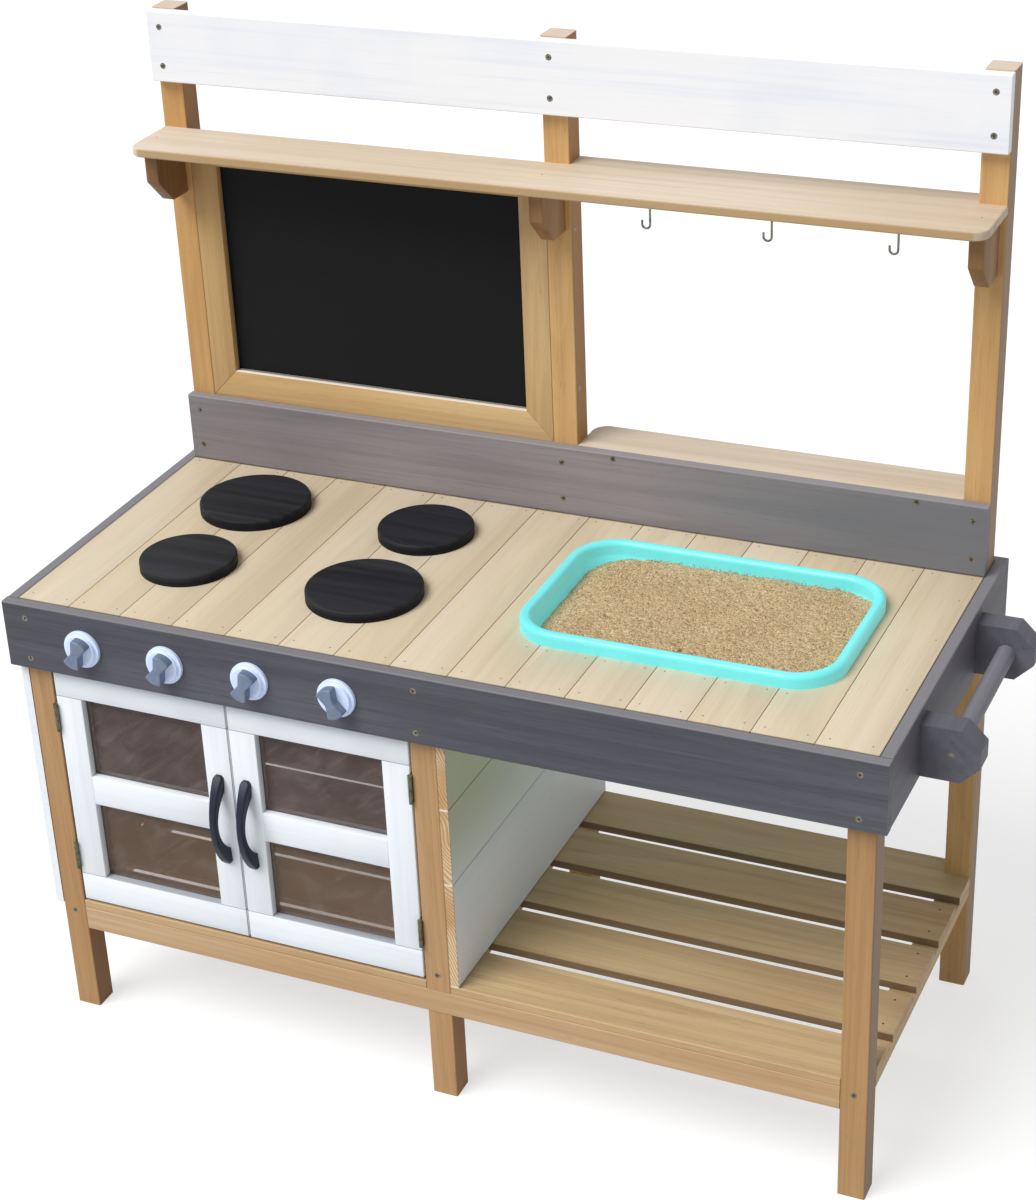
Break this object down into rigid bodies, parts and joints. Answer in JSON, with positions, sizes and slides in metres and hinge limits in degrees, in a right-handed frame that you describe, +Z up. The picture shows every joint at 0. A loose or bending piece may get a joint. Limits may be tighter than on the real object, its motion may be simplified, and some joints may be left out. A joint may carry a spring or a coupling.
{
  "type": "mud kitchen",
  "caption": "Outdoor play kitchen with a slatted cabinet, boarded worktop, lift-out tray, burner discs, knobs, glazed doors, upper shelf with hooks and writing board.",
  "frame": {"origin": "middle of the bounding box on the floor under the legs", "axes": "+X from the cabinet towards the towel rail, +Y from the front to the back, +Z up"},
  "size_m": [1.062, 0.4944, 1.095],
  "materials": {
    "oiled_wood": "oiled",
    "grey_stained_wood": "stained",
    "pale_wood": "oiled",
    "white_painted_wood": "painted",
    "board_panel": "matt painted",
    "black_stained_wood": "stained",
    "turquoise_plastic": "glossy",
    "sand": "loose coarse sand",
    "clear_pane": "clear sheet",
    "black_plastic": "satin",
    "white_plastic": "glossy",
    "grey_plastic": "satin",
    "zinc_steel": "zinc plated",
    "dark_steel": "blackened",
    "hook_steel": "zinc plated"
  },
  "bodies": {
    "carcass": {"apron_screws": "zinc_steel", "back_apron": "grey_stained_wood", "back_left_post": "oiled_wood", "back_lower_rail": "pale_wood", "back_middle_post": "oiled_wood", "back_planks": "white_painted_wood", "back_right_post": "oiled_wood", "backsplash": "grey_stained_wood", "block_screw": "zinc_steel", "burner_discs": "black_stained_wood", "cross_rails": "pale_wood", "frame_screws": "zinc_steel", "front_apron": "grey_stained_wood", "front_left_leg": "oiled_wood", "front_lower_rail": "pale_wood", "front_middle_leg": "oiled_wood", "front_right_leg": "oiled_wood", "header_board": "white_painted_wood", "knob_pivots": "zinc_steel", "left_apron": "grey_stained_wood", "left_hinge_leg_leaves": "dark_steel", "left_planks": "white_painted_wood", "leg_screws": "zinc_steel", "middle_cleat": "pale_wood", "middle_planks": "white_painted_wood", "rail_blocks": "grey_stained_wood", "rear_ledge": "pale_wood", "right_apron": "grey_stained_wood", "right_hinge_leg_leaves": "dark_steel", "shelf_brackets": "pale_wood", "shelf_hooks": "hook_steel", "shelf_slats": "pale_wood", "towel_rail": "grey_stained_wood", "upper_board_screws": "zinc_steel", "upper_shelf": "pale_wood", "worktop_battens": "pale_wood", "worktop_boards": "pale_wood", "writing_board_panel": "board_panel", "writing_board_rails": "white_painted_wood", "writing_board_stiles": "white_painted_wood"},
    "left_door": {"left_door_handle": "black_plastic", "left_door_panes": "clear_pane", "left_door_rails": "white_painted_wood", "left_door_stiles": "white_painted_wood", "left_hinge_door_leaves": "dark_steel"},
    "right_door": {"right_door_handle": "black_plastic", "right_door_panes": "clear_pane", "right_door_rails": "white_painted_wood", "right_door_stiles": "white_painted_wood", "right_hinge_door_leaves": "dark_steel"},
    "knob_1": {"knob_1_dial": "white_plastic", "knob_1_grip": "grey_plastic"},
    "knob_2": {"knob_2_dial": "white_plastic", "knob_2_grip": "grey_plastic"},
    "knob_3": {"knob_3_dial": "white_plastic", "knob_3_grip": "grey_plastic"},
    "knob_4": {"knob_4_dial": "white_plastic", "knob_4_grip": "grey_plastic"},
    "lift_out_tray": {"tray": "turquoise_plastic", "sand_fill": "sand"}
  },
  "joints": [
    {"name": "left_door_hinge", "type": "hinge", "parent": "carcass", "child": "left_door", "pos_m": [-0.4869, -0.21755, 0.3], "axis": [0, 0, -1], "range_deg": [0, 110]},
    {"name": "right_door_hinge", "type": "hinge", "parent": "carcass", "child": "right_door", "pos_m": [-0.0471, -0.21755, 0.3], "axis": [0, 0, 1], "range_deg": [0, 110]},
    {"name": "knob_1_turn", "type": "hinge", "parent": "carcass", "child": "knob_1", "pos_m": [-0.4313, -0.22785, 0.507], "axis": [0, 1, 0], "continuous": true},
    {"name": "knob_2_turn", "type": "hinge", "parent": "carcass", "child": "knob_2", "pos_m": [-0.3276, -0.22785, 0.507], "axis": [0, 1, 0], "continuous": true},
    {"name": "knob_3_turn", "type": "hinge", "parent": "carcass", "child": "knob_3", "pos_m": [-0.2239, -0.22785, 0.507], "axis": [0, 1, 0], "continuous": true},
    {"name": "knob_4_turn", "type": "hinge", "parent": "carcass", "child": "knob_4", "pos_m": [-0.1202, -0.22785, 0.507], "axis": [0, 1, 0], "continuous": true},
    {"name": "tray_lift", "type": "slide", "parent": "carcass", "child": "lift_out_tray", "axis": [0, 0, 1], "range_m": [0, 0.12]}
  ]
}
